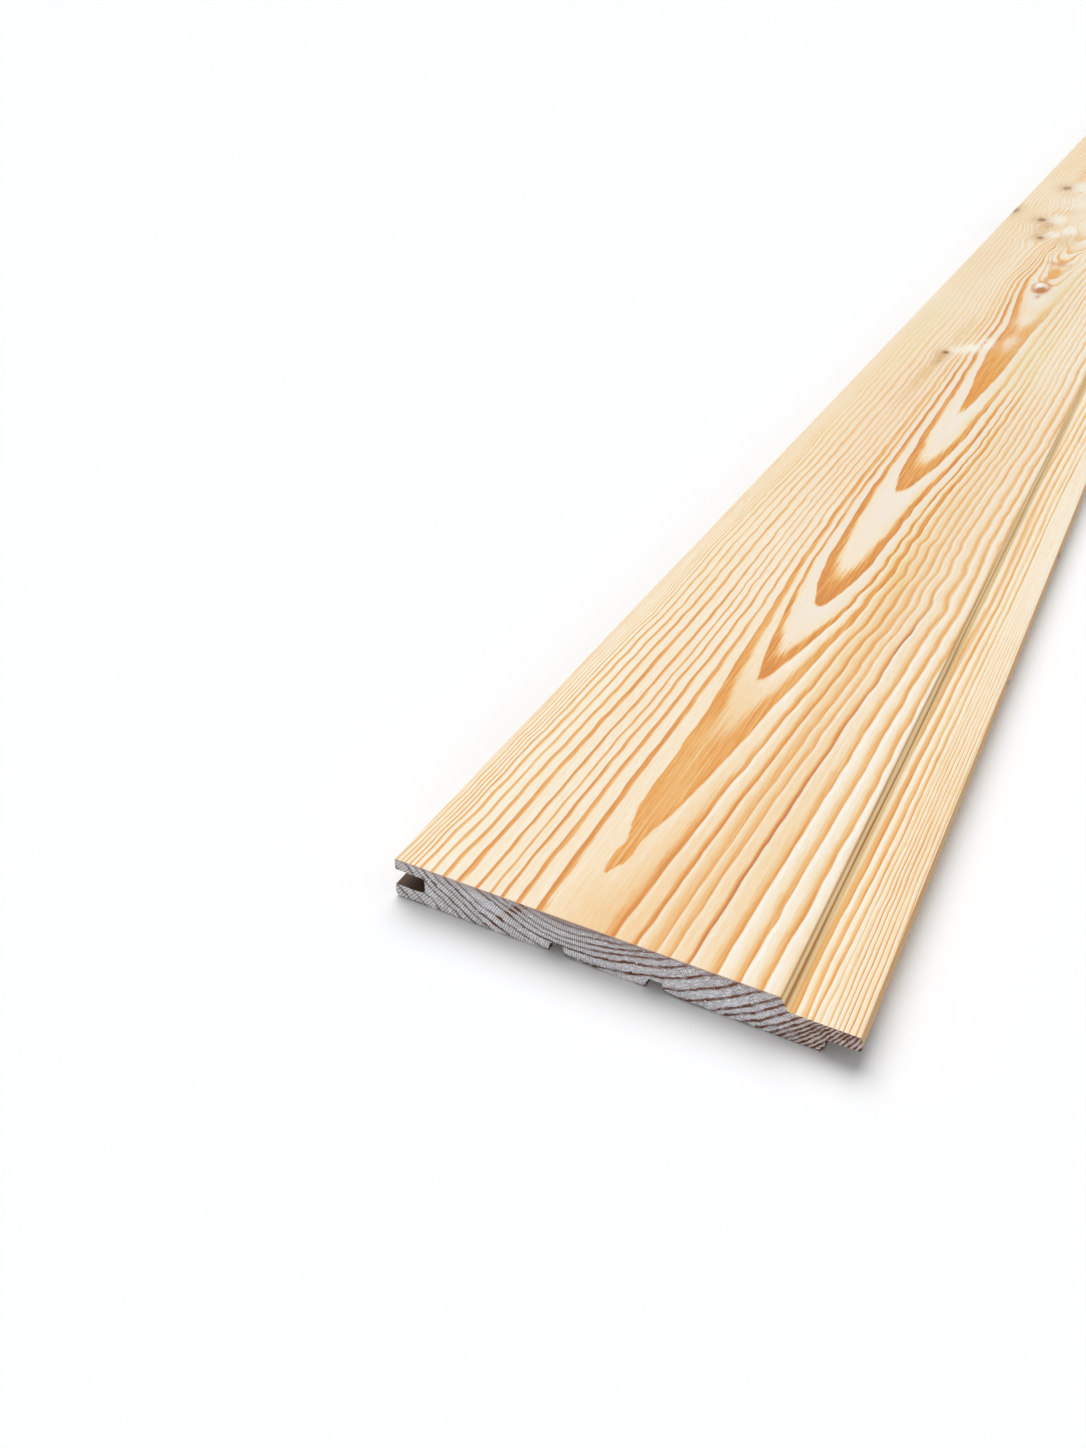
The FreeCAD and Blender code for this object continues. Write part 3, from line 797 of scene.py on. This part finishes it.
def planed():
    g = Nodes("pine_planed")
    w = g.attr("wood", True)
    n0, early, late, split, sawn = (g.attr(a) for a in ("grain", "early", "late", "split", "sawn"))
    x, s, d = g.parts(w)
    # the ring count with small irregularities
    n = g.add(n0, g.mul(g.sub(g.noise(w, (.03, .4, .4)), .5), .10))
    n = g.add(n, g.mul(g.sub(g.noise(w, (.13, 1.7, 1.7)), .5), .06))
    tongue = g.sm(107.5, 110.5, s)
    n = g.add(n, g.mul(g.mul(tongue, g.sub(g.noise(w, (.016, .55, .1), 3.0, .6), .5)), .85))
    f = g.m("FRACT", n)
    feather = g.sub(g.noise(w, (.045, 1.5, 1.5), 3.0, .6), .5)
    start = g.add(early, g.mul(feather, .40))
    side = g.sm(50, 60, s)
    band = g.mul(g.sub(1.0, side), g.sm(340, 150, x))  # flat bands near the end on the left, shaded ones elsewhere
    top = g.add(start, g.mul(g.sub(.97, start), g.sub(g.sm(-.35, .15, n, .5, .92), g.mul(g.mul(band, g.sm(.0, .4, n)), .47))))
    dark = g.mul(g.sm(start, top, f), g.add(late, g.mul(g.sub(g.noise(w, (.012, .25, .25)), .5), .40)))
    away = g.sm(60, 260, x)
    flame = g.sm(.5, .1, n)  # 1 inside the cathedral figure, whose outer edges stay crisp
    crisp = g.m("MAXIMUM", g.sub(1.0, away), flame)
    rim = g.mul(g.mul(g.sm(.80, .96, f), g.add(.05, g.mul(crisp, .12))), g.m("MINIMUM", g.mul(late, 1.3), 1.0))
    fall = g.add(.03, g.mul(g.sub(1.0, crisp), .22))
    dark = g.mul(g.add(dark, rim), g.sm(g.sub(1.0, fall), 1.0, f, 1.0, g.add(.10, g.mul(crisp, .20))))
    # early wood just after each ring edge made paler: partly its own colour, partly a painted highlight of the ring
    # relief, strongest on the right half
    pale = g.mul(g.mul(g.sm(.0, .06, f), g.sm(.05, .34, f, 1.0, .0)), g.add(.04, g.mul(side, .20)))
    # broad warm and pale areas of the face
    base = g.add(.10, g.mul(g.sub(g.noise(w, (.006, .05, .05)), .5), .16))
    base = g.add(base, g.mul(g.blob(x, s, 20, 65, 90, 10), .27))
    base = g.add(base, g.mul(g.blob(x, s, 170, 73.5, 110, 6), .25))
    base = g.add(base, g.mul(g.blob(x, s, 0, 52, 34, 9), .30))
    base = g.add(base, g.mul(g.blob(x, s, 270, 83, 130, 9), .06))
    base = g.sub(base, g.mul(g.blob(x, s, 590, 5, 26, 9), .10))
    base = g.sub(base, g.mul(g.blob(x, s, 930, 9, 60, 12), .10))
    base = g.sub(base, g.mul(g.blob(x, s, 50, 68, 60, 4), .06))
    base = g.sub(base, g.mul(g.blob(x, s, 88, 63.8, 62, 2.6), .15))
    base = g.add(base, g.mul(g.blob(x, s, 60, 82.2, 90, 2.8), .15))
    base = g.sub(base, g.mul(g.blob(x, s, 100, 3.5, 200, 4.5), .07))
    base = g.add(base, g.mul(g.blob(x, s, 600, 54, 46, 12), .14))
    base = g.add(base, g.mul(g.blob(x, s, 420, 26, 130, 16), .03))
    base = g.add(base, g.mul(g.blob(x, s, 40, 74, 70, 5), .08))
    base = g.add(base, g.mul(g.blob(x, s, 108, 52, 32, 6), .26))
    base = g.add(base, g.mul(g.blob(x, s, 60, 80, 90, 7), .10))
    base = g.add(base, g.mul(g.blob(x, s, 140, 3, 300, 7), .05))
    base = g.add(base, g.mul(g.blob(x, s, 60, 52, 120, 17), .07))
    base = g.sub(base, g.mul(g.blob(x, s, 72, 52.5, 34, 4.2), .10))
    base = g.sub(base, g.mul(g.blob(x, s, 25, 49.8, 12, 2.4), .12))
    base = g.sub(base, g.mul(g.sm(102.2, 103.2, s), .12))
    base = g.add(base, g.mul(g.blob(x, s, 72, 115.2, 58, 3.6), .15))
    base = g.add(base, g.mul(g.blob(x, s, 160, 114.5, 60, 3.0), .05))
    base = g.sub(base, g.mul(g.blob(x, s, 40, 10, 180, 8), .16))
    base = g.sub(base, g.mul(g.blob(x, s, 200, 94, 400, 6), .04))
    fibre = g.mul(g.sub(g.noise(w, (.014, 3.2, 3.2), 3.0, .65), .5), g.add(.45, g.mul(dark, .75)))
    streak = g.mul(g.sub(g.noise(w, (.028, 1.35, 1.35), 4.0, .72), .5), g.add(.40, g.mul(dark, g.add(.6, g.mul(flame, 1.2)))))
    hair = g.mul(g.sub(g.noise(w, (.08, 5.5, 5.5), 3.0, .65), .5), .60)
    blot = g.mul(g.sub(g.noise(w, (.22, 1.1, 1.1), 4.0, .75), .5), .50)
    q = g.add(g.add(g.add(base, dark), g.sub(g.add(fibre, streak), pale)), g.add(hair, blot))
    # pale open fibres in the dark wood
    open_fibre = g.mul(g.sm(.60, .72, g.noise(w, (.03, 3.4, 3.4), 2.0, .6)), g.sm(.35, .8, dark))
    q = g.sub(q, g.mul(open_fibre, .38))
    col = g.ramp(g.lr(-.2, 1.3, q), WOOD)
    # yellower towards the groove edge, and straw coloured along the right half further on
    col = g.mix(g.mul(g.mul(g.sm(30, 8, s), g.sm(0, 9, s, .45, 1.0)), .42), col, g.mix(.5, col, (250, 236, 182), "MULTIPLY"))
    straw = g.mul(g.mul(g.sm(57, 61, s), g.sm(82, 72, s)), g.mul(g.sm(90, 200, x), g.sm(700, 480, x)))
    straw = g.mul(straw, g.add(.2, g.mul(g.sm(.42, .62, g.noise(w, (.02, .22, .22), 2.0, .5)), .8)))
    col = g.mix(straw, col, g.mix(.7, col, (250, 243, 206), "MULTIPLY"))
    tan = g.mul(g.mul(g.sm(70, 78, s), g.sm(101, 97, s)), g.mul(g.sm(130, 210, x), g.sm(520, 400, x)))
    col = g.mix(g.mul(tan, .6), col, g.mix(.7, col, (250, 236, 216), "MULTIPLY"))
    # golden late wood in the figure, and a little everywhere
    col = g.mix(g.mul(g.sm(.35, .8, dark), g.add(.4, g.mul(flame, .6))), col, g.mix(1.0, col, (255, 250, 222), "MULTIPLY"))
    col = g.mix(g.mul(g.blob(x, s, 440, 56.3, 52, 4.5), g.sm(.3, .7, dark)), col, g.mix(1.0, col, (255, 246, 205), "MULTIPLY"))
    # the ledge is warmer than the face
    col = g.mix(g.sm(102.2, 103.0, s), col, g.mix(1.0, col, (255, 250, 240), "MULTIPLY"))
    ripple = g.mul(g.sub(g.noise(w, (.05, .3, .3)), .5), .6)
    first_at = g.add(g.add(103.1, g.mul(x, .0155)), ripple)
    first_band = g.mul(g.sm(102.5, 102.8, s), g.sm(.85, .45, g.m("ABSOLUTE", g.sub(s, first_at))))
    col = g.mix(g.mul(g.mul(first_band, g.sm(190, 110, x)), .60), col, (228, 174, 104))
    second_at = g.add(g.add(102.5, g.mul(g.sm(120, 240, x), 2.9)), ripple)
    second = g.mul(g.sm(102.5, 102.8, s), g.sm(.85, .40, g.m("ABSOLUTE", g.sub(s, second_at))))
    col = g.mix(g.mul(g.mul(second, g.mul(g.sm(90, 130, x), g.sm(420, 280, x))), .65), col, (226, 174, 108))
    foot = g.mul(g.mul(g.sm(102.4, 102.8, s), g.sm(105.2, 103.4, s)), g.sm(120, 40, x))
    col = g.mix(g.mul(foot, .30), col, (240, 196, 120))
    col = g.mix(g.mul(g.mul(g.sm(102.3, 102.6, s), g.sm(103.3, 102.9, s)), g.sm(48, 18, x, 0.0, .6)), col, (214, 154, 82))
    # the early wood inside the figure is a cooler, chalky white
    chalk = g.mul(g.mul(g.sm(-1.02, -1.2, n), g.sm(start, g.sub(start, .22), f)), g.sm(760, 640, x))
    col = g.mix(g.mul(chalk, .70), col, (243, 231, 214))
    # pinkish left half in the middle of the view
    pink = g.blob(x, s, 400, 27, 130, 15)
    col = g.mix(g.mul(pink, .45), col, g.mix(.6, col, (250, 226, 210), "MULTIPLY"))
    # short resin canals
    canal = g.sm(.73, .80, g.noise(w, (.10, 4.2, 4.2), 1.0, .4))
    col = g.mix(g.mul(canal, .28), col, (204, 150, 100))
    # a split on a ring edge
    line = g.mul(g.sm(.80, .97, f), split)
    col = g.mix(g.mul(line, .95), col, (184, 108, 66))
    # pale curls and resin-coloured smears round the knots
    mottle = g.noise(w, (.09, .28, .28), 4.0, .65)
    for px, ps, rx, rs, much, tone in SMEARS:
        m = g.mul(g.m("MINIMUM", g.mul(g.blob(x, s, px, ps, rx, rs), 1.5), 1.0), g.sm(.28, .50, mottle))
        col = g.mix(g.mul(m, much), col, tone)
    # the eye: a brown ring with a dark core and a bright spot
    ea = g.m("DIVIDE", g.sub(x, 644.0), 13.0)
    eb = g.m("DIVIDE", g.sub(s, 53.2), 5.0)
    er = g.add(g.m("SQRT", g.add(g.mul(ea, ea), g.mul(eb, eb))), g.mul(g.sub(mottle, .5), .5))
    col = g.mix(g.mul(g.sm(1.1, .6, er), .7), col, (248, 236, 216))
    ring_line = g.sm(.34, .08, g.m("ABSOLUTE", g.sub(er, .95)))
    col = g.mix(g.mul(ring_line, .70), col, (214, 158, 100))
    col = g.mix(g.mul(g.m("MINIMUM", g.mul(g.blob(x, s, 637, 54.2, 8.0, 3.2), 1.6), 1.0), .95), col, (190, 116, 40))
    col = g.mix(g.mul(g.m("MINIMUM", g.mul(g.blob(x, s, 649, 51.5, 5.0, 1.8), 1.4), 1.0), .95), col, (255, 250, 240))
    col = g.mix(g.mul(g.blob(x, s, 621, 54.8, 4.5, 1.4), .7), col, (196, 146, 98))
    # knots with a darker core and a soft brown edge
    for kx, ks, ra, rb, dk in KNOTS:
        e = g.add(g.blob(x, s, kx, ks, ra, rb), g.mul(g.sub(g.noise(w, (.4, .9, .9)), .5), .30))
        col = g.mix(g.mul(g.blob(x, s, kx, ks - .8, ra * 1.9, rb * 1.8), .65), col, (212, 168, 112))
        col = g.mix(g.mul(g.sm(.26, 1.0, e), dk * .85), col, (118, 76, 34))
    # shoulder: tan with long cream and dark lines; nose of the tongue: brown
    slope = g.mul(g.sm(100.45, 100.75, s), g.sm(102.95, 102.6, s))
    col = g.mix(g.mul(g.mul(g.sm(100.15, 100.4, s), g.sm(101.0, 100.7, s)), g.sm(260, 120, x, .1, .5)), col, (194, 148, 96))
    run = g.add(g.mul(g.sub(s, 100.5), .476), g.mul(g.sub(g.noise(w, (.010, .4, .4), 2.0, .5), .5), .55))
    col = g.mix(g.mul(slope, .90), col, (255, 225, 166))
    cream = g.m("MAXIMUM", g.sm(.10, .03, g.m("ABSOLUTE", g.sub(run, .36))), g.mul(g.sm(.12, .04, g.m("ABSOLUTE", g.sub(run, .80))), .7))
    col = g.mix(g.mul(g.mul(slope, cream), .75), col, (255, 238, 200))
    gloom = g.m("MAXIMUM", g.sm(.15, .04, g.m("ABSOLUTE", g.sub(run, .58))), g.mul(g.sm(.14, .03, g.m("ABSOLUTE", g.sub(run, .11))), .85))
    col = g.mix(g.mul(g.mul(slope, gloom), g.sm(330, 120, x, .40, .92)), col, (176, 110, 48))
    col = g.mix(g.mul(g.mul(slope, g.sm(.48, .64, g.noise(w, (.02, 3.0, 3.0), 3.0, .6))), .3), col, (222, 178, 118))
    nose = g.mul(g.sm(119.15, 119.34, s), g.sm(8.6, 7.4, d))
    col = g.mix(g.mul(nose, g.add(.84, g.mul(g.sub(g.noise(w, (.03, 1.0, 1.8), 3.0, .6), .5), .7))), col, (202, 148, 82))
    nick = g.m("MAXIMUM", g.blob(x, s, 276, 120, 3.4, .5), g.mul(g.blob(x, s, 172, 120, 1.6, .5), .7))
    col = g.mix(g.mul(g.mul(nick, g.sm(4.2, 5.0, d)), .9), col, (78, 56, 40))
    col = g.mix(g.mul(sawn, .40), col, (212, 172, 118))
    # painted shade: the side, groove, underside and relief slots turn deep brown within about 26 mm of the near sawn
    # end
    end_recess_shade = g.mul(g.sm(.55, .62, sawn), g.sm(26, 2, x))
    col = g.mix(g.mul(end_recess_shade, .92), col, (58, 32, 18))
    g.put(g.bsdf.inputs["Base Color"], col)
    rough = g.add(.52, g.mul(g.sub(g.noise(w, (.02, 1.2, 1.2)), .5), .12))
    rough = g.add(rough, g.mul(sawn, .15))
    g.put(g.bsdf.inputs["Roughness"], rough)
    g.bsdf.inputs["Specular IOR Level"].default_value = .28
    h = g.mul(hair, 1.2)
    h = g.add(h, g.mul(g.sub(g.noise(w, (.25, 6.0, 6.0), 3.0, .6), .5), g.add(.3, g.mul(sawn, 1.5))))
    g.put(g.bsdf.inputs["Normal"], g.bump(h, .00006))
    return g.mat


def end_grain():
    g = Nodes("pine_end_grain")
    w = g.attr("wood", True)
    n0, pitch = g.attr("rings"), g.attr("pitch")
    x, s, d = g.parts(w)
    wav = g.add(g.mul(g.sub(g.noise(w, (0, .45, .45), 2.0, .5), .5), .60), g.mul(g.sub(g.noise(w, (0, 1.8, 1.8), 2.0, .6), .5), .09))
    n = g.add(g.add(n0, g.mul(g.mul(wav, pitch), 1.0)), .5)
    off = g.m("DIVIDE", g.sub(g.m("FRACT", n), .5), pitch)  # millimetres from the nearest dark line
    dist = g.m("ABSOLUTE", off)
    side = g.sm(50, 60, s)
    tip = g.sm(101, 108, s)
    # rows of cells along the rays and across them
    ws = g.sub(s, 49.0)
    wd = g.add(d, 42.0)
    r = g.m("SQRT", g.add(g.mul(ws, ws), g.mul(wd, wd)))
    a = g.mul(g.m("ARCTAN2", ws, wd), 52.0)
    jit = g.mul(g.sub(g.noise(w, (0, .9, .9), 2.0, .6), .5), 4.0)
    rows = g.m("SINE", g.add(g.mul(a, 10.5), jit))
    beads = g.m("SINE", g.add(g.mul(r, 9.5), g.mul(jit, 1.3)))
    grid = g.add(.5, g.mul(g.add(g.mul(rows, .6), g.mul(g.mul(rows, beads), .4)), .5))
    polar = g.t.nodes.new("ShaderNodeCombineXYZ")
    g.put(polar.inputs[0], a)
    g.put(polar.inputs[1], r)
    pv = polar.outputs[0]
    face_side = g.sm(3.2, .6, d)
    shade = g.mul(g.sm(3.4, .3, d), g.blob(s, 0.0, 54, 0, 24, 9))
    # ground colour: neutral grey, bluish white towards the right, warm at the tongue and under the face
    cool = g.add(g.noise(w, (0, .16, .45), 4.0, .65), g.mul(g.blob(s, d, 92, 9, 17, 7), .20))
    cool = g.sub(cool, g.mul(shade, .34))
    cool = g.add(cool, g.mul(g.blob(s, d, 57, 9, 14, 6), .10))
    cool = g.add(cool, g.mul(g.blob(s, d, 24, 9, 24, 7), .20))
    cool = g.sub(cool, g.mul(g.blob(s, d, 88, 2, 16, 4), .12))
    col = g.ramp(cool, [(.15, (136, 121, 117)), (.38, (162, 152, 150)), (.60, (188, 184, 186)), (.8, (212, 212, 218))])
    col = g.mix(g.mul(g.sm(100, 108, s), .65), col, (196, 166, 146))
    col = g.mix(g.mul(shade, .30), col, (150, 122, 108))
    soft = g.mul(g.sub(1.0, g.mul(g.m("MAXIMUM", face_side, g.mul(side, .80)), .6)), g.sub(1.0, g.mul(tip, .85)))
    col = g.mix(g.mul(g.sm(.56, .90, grid), g.mul(soft, .85)), col, (246, 244, 246))
    col = g.mix(g.mul(g.sm(.46, .10, grid), g.mul(soft, .80)), col, (88, 78, 74))
    # streaks along the rings on the right, pale and bluish
    along_ring = g.t.nodes.new("ShaderNodeCombineXYZ")
    g.put(along_ring.inputs[0], g.mul(s, .75))
    g.put(along_ring.inputs[1], g.mul(n0, 8.0))
    flow = g.noise(along_ring.outputs[0], (1, 1, 1), 3.0, .7)
    col = g.mix(g.mul(g.mul(side, g.sm(.50, .63, flow)), .80), col, (232, 236, 246))
    col = g.mix(g.mul(g.mul(side, g.sm(.47, .32, flow)), .45), col, (126, 116, 114))
    fine = g.noise(w, (0, 2.8, 2.8), 3.0, .75)
    grit = g.sub(.60, g.mul(tip, .35))
    col = g.mix(g.mul(g.sm(.54, .70, fine), grit), col, (244, 244, 248))
    col = g.mix(g.mul(g.sm(.47, .30, fine), grit), col, (104, 92, 88))
    # fibres torn along the rays: pale strokes, most towards the underside, and a few dark cracks
    stroke = g.noise(pv, (2.6, .55, 0), 3.0, .65)
    white = g.mul(g.sm(.53, .64, stroke), g.add(.18, g.mul(g.sm(6.0, 10.5, d), .66)))
    col = g.mix(white, col, (250, 250, 251))
    crack = g.mul(g.sm(.70, .75, g.noise(pv, (2.2, .20, 0), 2.0, .5)), .55)
    col = g.mix(crack, col, (92, 78, 72))
    # late wood: thin lines on the left, bold brown bands on the right, dense at the tongue
    patch = g.noise(w, (0, .35, .35), 3.0, .6)
    thick = g.add(g.add(.27, g.mul(side, .04)), g.mul(g.sub(g.noise(w, (0, .40, .40), 2.0, .5), .5), g.add(.35, g.mul(side, .20))))
    thick = g.sub(thick, g.mul(tip, .09))
    body = g.sm(g.add(thick, g.add(.20, g.mul(side, .05))), g.sub(thick, .14), dist)
    halo = g.mul(g.sm(1.25, .1, dist), g.add(.05, g.mul(side, .14)))
    # the dark stained dashes lie in one stripe on the left
    stripe = g.sm(1.9, .9, g.m("ABSOLUTE", g.sub(s, g.sub(36.6, g.mul(d, .92)))))
    stripe = g.mul(stripe, g.sm(11.6, 10.6, d))
    brown = g.m("MAXIMUM", g.mul(side, g.sm(.32, .52, patch)), stripe)
    tint = g.mix(brown, (98, 86, 82), (104, 62, 44))
    tint = g.mix(g.mul(tip, .8), tint, (86, 52, 38))
    bold = g.m("MAXIMUM", brown, g.mul(tip, .9))
    amount = g.add(g.add(.62, g.mul(g.sm(.42, .58, patch), .20)), g.add(g.mul(bold, .17), g.mul(tip, .10)))
    old = g.m("MAXIMUM", g.blob(n0, 0.0, 9.0, 0, .45, 1), g.m("MAXIMUM", g.blob(n0, 0.0, 7.0, 0, .45, 1), g.blob(n0, 0.0, 5.0, 0, .45, 1)))
    amount = g.add(amount, g.mul(g.mul(old, g.sub(1.0, side)), .28))
    amount = g.mul(amount, g.sub(1.0, g.mul(shade, .45)))
    dash = g.mul(stripe, g.sm(.60, .30, dist))
    col = g.mix(halo, col, (142, 112, 98))
    col = g.mix(g.mul(body, amount), col, tint)
    col = g.mix(g.mul(dash, .85), col, (104, 58, 38))
    # specks and pits
    speck = g.mul(g.sm(.24, .10, g.cells(w, (0, .62, 1.0)).outputs["Distance"]), g.sm(.50, .60, g.noise(w, (0, .3, .3))))
    col = g.mix(g.mul(speck, .8), col, (255, 255, 255))
    pit = g.mul(g.sm(.64, .70, g.noise(w, (0, .8, 1.9), 2.0, .6)), g.sm(8.5, 11.5, d))
    col = g.mix(g.mul(pit, .8), col, (86, 50, 34))
    # the edge under the face
    col = g.mix(g.mul(g.sm(1.6, .2, d), .35), col, (150, 122, 112))
    col = g.mix(g.mul(g.sm(.34, .06, d), .8), col, (244, 196, 164))
    g.put(g.bsdf.inputs["Base Color"], col)
    g.bsdf.inputs["Roughness"].default_value = .8
    g.bsdf.inputs["Specular IOR Level"].default_value = .2
    h = g.add(g.mul(fine, .8), g.add(g.mul(grid, .5), g.mul(white, .8)))
    g.put(g.bsdf.inputs["Normal"], g.bump(h, .00016))
    return g.mat


mesh.materials.append(planed())
mesh.materials.append(end_grain())
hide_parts("board")
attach(board, "root")

# ---------------------------------------------------------------- floor, light and camera
fm = bpy.data.meshes.new("studio_floor")
fm.from_pydata([(-9, -9, 0), (9, -9, 0), (9, 9, 0), (-9, 9, 0)], [], [(0, 1, 2, 3)])
floor = bpy.data.objects.new("studio_floor", fm)
bpy.context.scene.collection.objects.link(floor)
g = Nodes("studio_floor")
g.bsdf.inputs["Base Color"].default_value = (.984, .993, 1, 1)
g.bsdf.inputs["Roughness"].default_value = .9
g.bsdf.inputs["Specular IOR Level"].default_value = 0.0
fm.materials.append(g.mat)

world = bpy.data.worlds.new("studio")
bpy.context.scene.world = world
world.use_nodes = True
bg = world.node_tree.nodes.get("Background") or world.node_tree.nodes.new("ShaderNodeBackground")
bg.inputs[0].default_value = (1, 1, 1, 1)
bg.inputs[1].default_value = .31

sun = bpy.data.objects.new("soft_key", bpy.data.lights.new("soft_key", "SUN"))
sun.data.energy = 2.38
sun.data.angle = math.radians(50)
sun.rotation_mode = "QUATERNION"
sun.rotation_quaternion = Vector((-.50, -.38, .92)).to_track_quat("Z", "Y")
bpy.context.scene.collection.objects.link(sun)

card = bpy.data.objects.new("front_card", bpy.data.lights.new("front_card", "SUN"))
card.data.energy = 1.22
card.data.angle = math.radians(30)
card.rotation_mode = "QUATERNION"
card.rotation_quaternion = Vector((1, .42, .19)).to_track_quat("Z", "Y")
bpy.context.scene.collection.objects.link(card)

cam_data = bpy.data.cameras.new("camera")
cam_data.sensor_width = 36
cam_data.sensor_fit = "AUTO"
cam_data.lens = 32.6184
cam_data.clip_start, cam_data.clip_end = .01, 60
cam = bpy.data.objects.new("camera", cam_data)
bpy.context.scene.collection.objects.link(cam)
right = Vector((-.450334, .892469, .026419))
up = Vector((-.483159, -.268468, .833356))
back = Vector((.750838, .362524, .552105))
rot = Matrix((right, up, back)).transposed().to_4x4()
cam.matrix_world = Matrix.Translation((1.412676, .082582, .221396)) @ rot
bpy.context.scene.camera = cam

sc = bpy.context.scene
sc.view_settings.view_transform = "Standard"
sc.view_settings.look = "None"
sc.view_settings.exposure = 0
sc.view_settings.gamma = 1
sc.cycles.use_denoising = True
sc.cycles.max_bounces = 6

bpy.context.view_layer.update()
print("triangles", int((sizes - 2).sum()), "outline", P, "stations", R)
